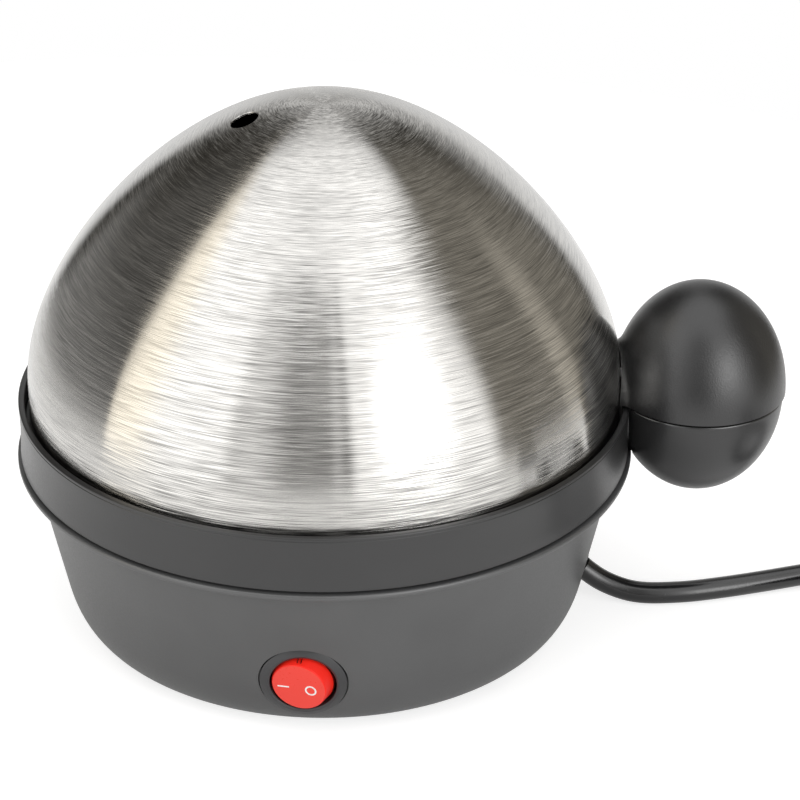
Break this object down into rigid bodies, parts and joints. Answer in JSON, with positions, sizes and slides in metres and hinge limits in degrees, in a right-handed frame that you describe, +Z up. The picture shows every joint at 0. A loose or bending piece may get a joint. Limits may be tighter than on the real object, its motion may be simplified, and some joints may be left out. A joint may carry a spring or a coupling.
{
  "type": "egg cooker",
  "caption": "Electric egg cooker with a brushed steel dome lid, split egg-shaped side handle, black bowl base, round rocker switch and mains lead.",
  "frame": {"origin": "middle of the outline on the surface that the cooker stands on", "axes": "+X towards the handle, -Y towards the switch, +Z up"},
  "size_m": [0.3344, 0.2054, 0.1538],
  "materials": {
    "housing_moulding": "fine matte grain",
    "handle_moulding": "satin",
    "brushed_dome": "brushed round the dome",
    "rack_knob": "satin",
    "rack_steel": "pressed sheet",
    "pan_steel": "turned",
    "plate_aluminium": "as cast",
    "element_steel": "heat-darkened",
    "ceramic": "unglazed",
    "silicone": "satin",
    "foot_rubber": "matte",
    "switch_black": "satin",
    "switch_red": "gloss, translucent",
    "terminal_brass": "plain",
    "plug_pins": "nickel-plated",
    "cord_sheath": "satin",
    "cord_moulding": "matte",
    "wire_brown": "satin",
    "wire_blue": "satin",
    "wire_green": "satin",
    "wire_black": "satin",
    "plain_steel": "zinc-plated"
  },
  "bodies": {
    "housing": {"base_bowl": "housing_moulding", "bottom_cover": "housing_moulding", "foot_1": "foot_rubber", "foot_2": "foot_rubber", "foot_3": "foot_rubber", "foot_4": "foot_rubber", "cover_screw_1": "plain_steel", "cover_screw_2": "plain_steel", "cover_screw_3": "plain_steel", "collar_screw_1": "plain_steel", "collar_screw_2": "plain_steel", "collar_screw_3": "plain_steel", "collar_screw_4": "plain_steel", "collar_ring": "housing_moulding", "collar_handle_cover": "housing_moulding", "pan_seal": "silicone", "water_pan": "pan_steel", "heating_plate": "plate_aluminium", "heating_element": "element_steel", "clamp_bridge": "plain_steel", "bridge_nut": "plain_steel", "bridge_screw_1": "plain_steel", "bridge_screw_2": "plain_steel", "thermostat": "ceramic", "thermostat_clamp": "plain_steel", "thermostat_screw_1": "plain_steel", "thermostat_screw_2": "plain_steel", "thermal_fuse": "plain_steel", "fuse_clamp": "plain_steel", "fuse_screw": "plain_steel", "wire_live": "wire_brown", "wire_switched": "wire_black", "wire_link": "wire_black", "wire_fuse": "wire_black", "wire_neutral": "wire_blue", "wire_earth": "wire_green", "switch_body": "switch_black", "switch_terminal_1": "terminal_brass", "switch_terminal_2": "terminal_brass", "strain_relief": "cord_moulding", "power_cord": "cord_sheath", "cord_coil": "cord_sheath", "plug_lead": "cord_sheath", "cord_plug": "cord_moulding", "plug_pin_1": "plug_pins", "plug_pin_2": "plug_pins"},
    "lid": {"lid_dome": "brushed_dome", "lid_handle": "handle_moulding", "lid_handle_cover": "handle_moulding", "lid_washer_1": "silicone", "lid_screw_1": "plain_steel", "lid_washer_2": "silicone", "lid_screw_2": "plain_steel"},
    "rack": {"egg_rack": "rack_steel", "rack_handle": "rack_knob", "rack_nut": "plain_steel"},
    "rocker": {"switch_rocker": "switch_red"}
  },
  "joints": [
    {"name": "lid_lift", "type": "slide", "parent": "housing", "child": "lid", "axis": [0, 0, 1], "range_m": [0, 0.12]},
    {"name": "rack_lift", "type": "slide", "parent": "housing", "child": "rack", "axis": [0, 0, 1], "range_m": [0, 0.022]},
    {"name": "rocker_tilt", "type": "hinge", "parent": "housing", "child": "rocker", "pos_m": [-0.02517, -0.07193, 0.01912], "axis": [-0.0086, -0.1596, 0.9871], "range_deg": [0, 24]}
  ]
}
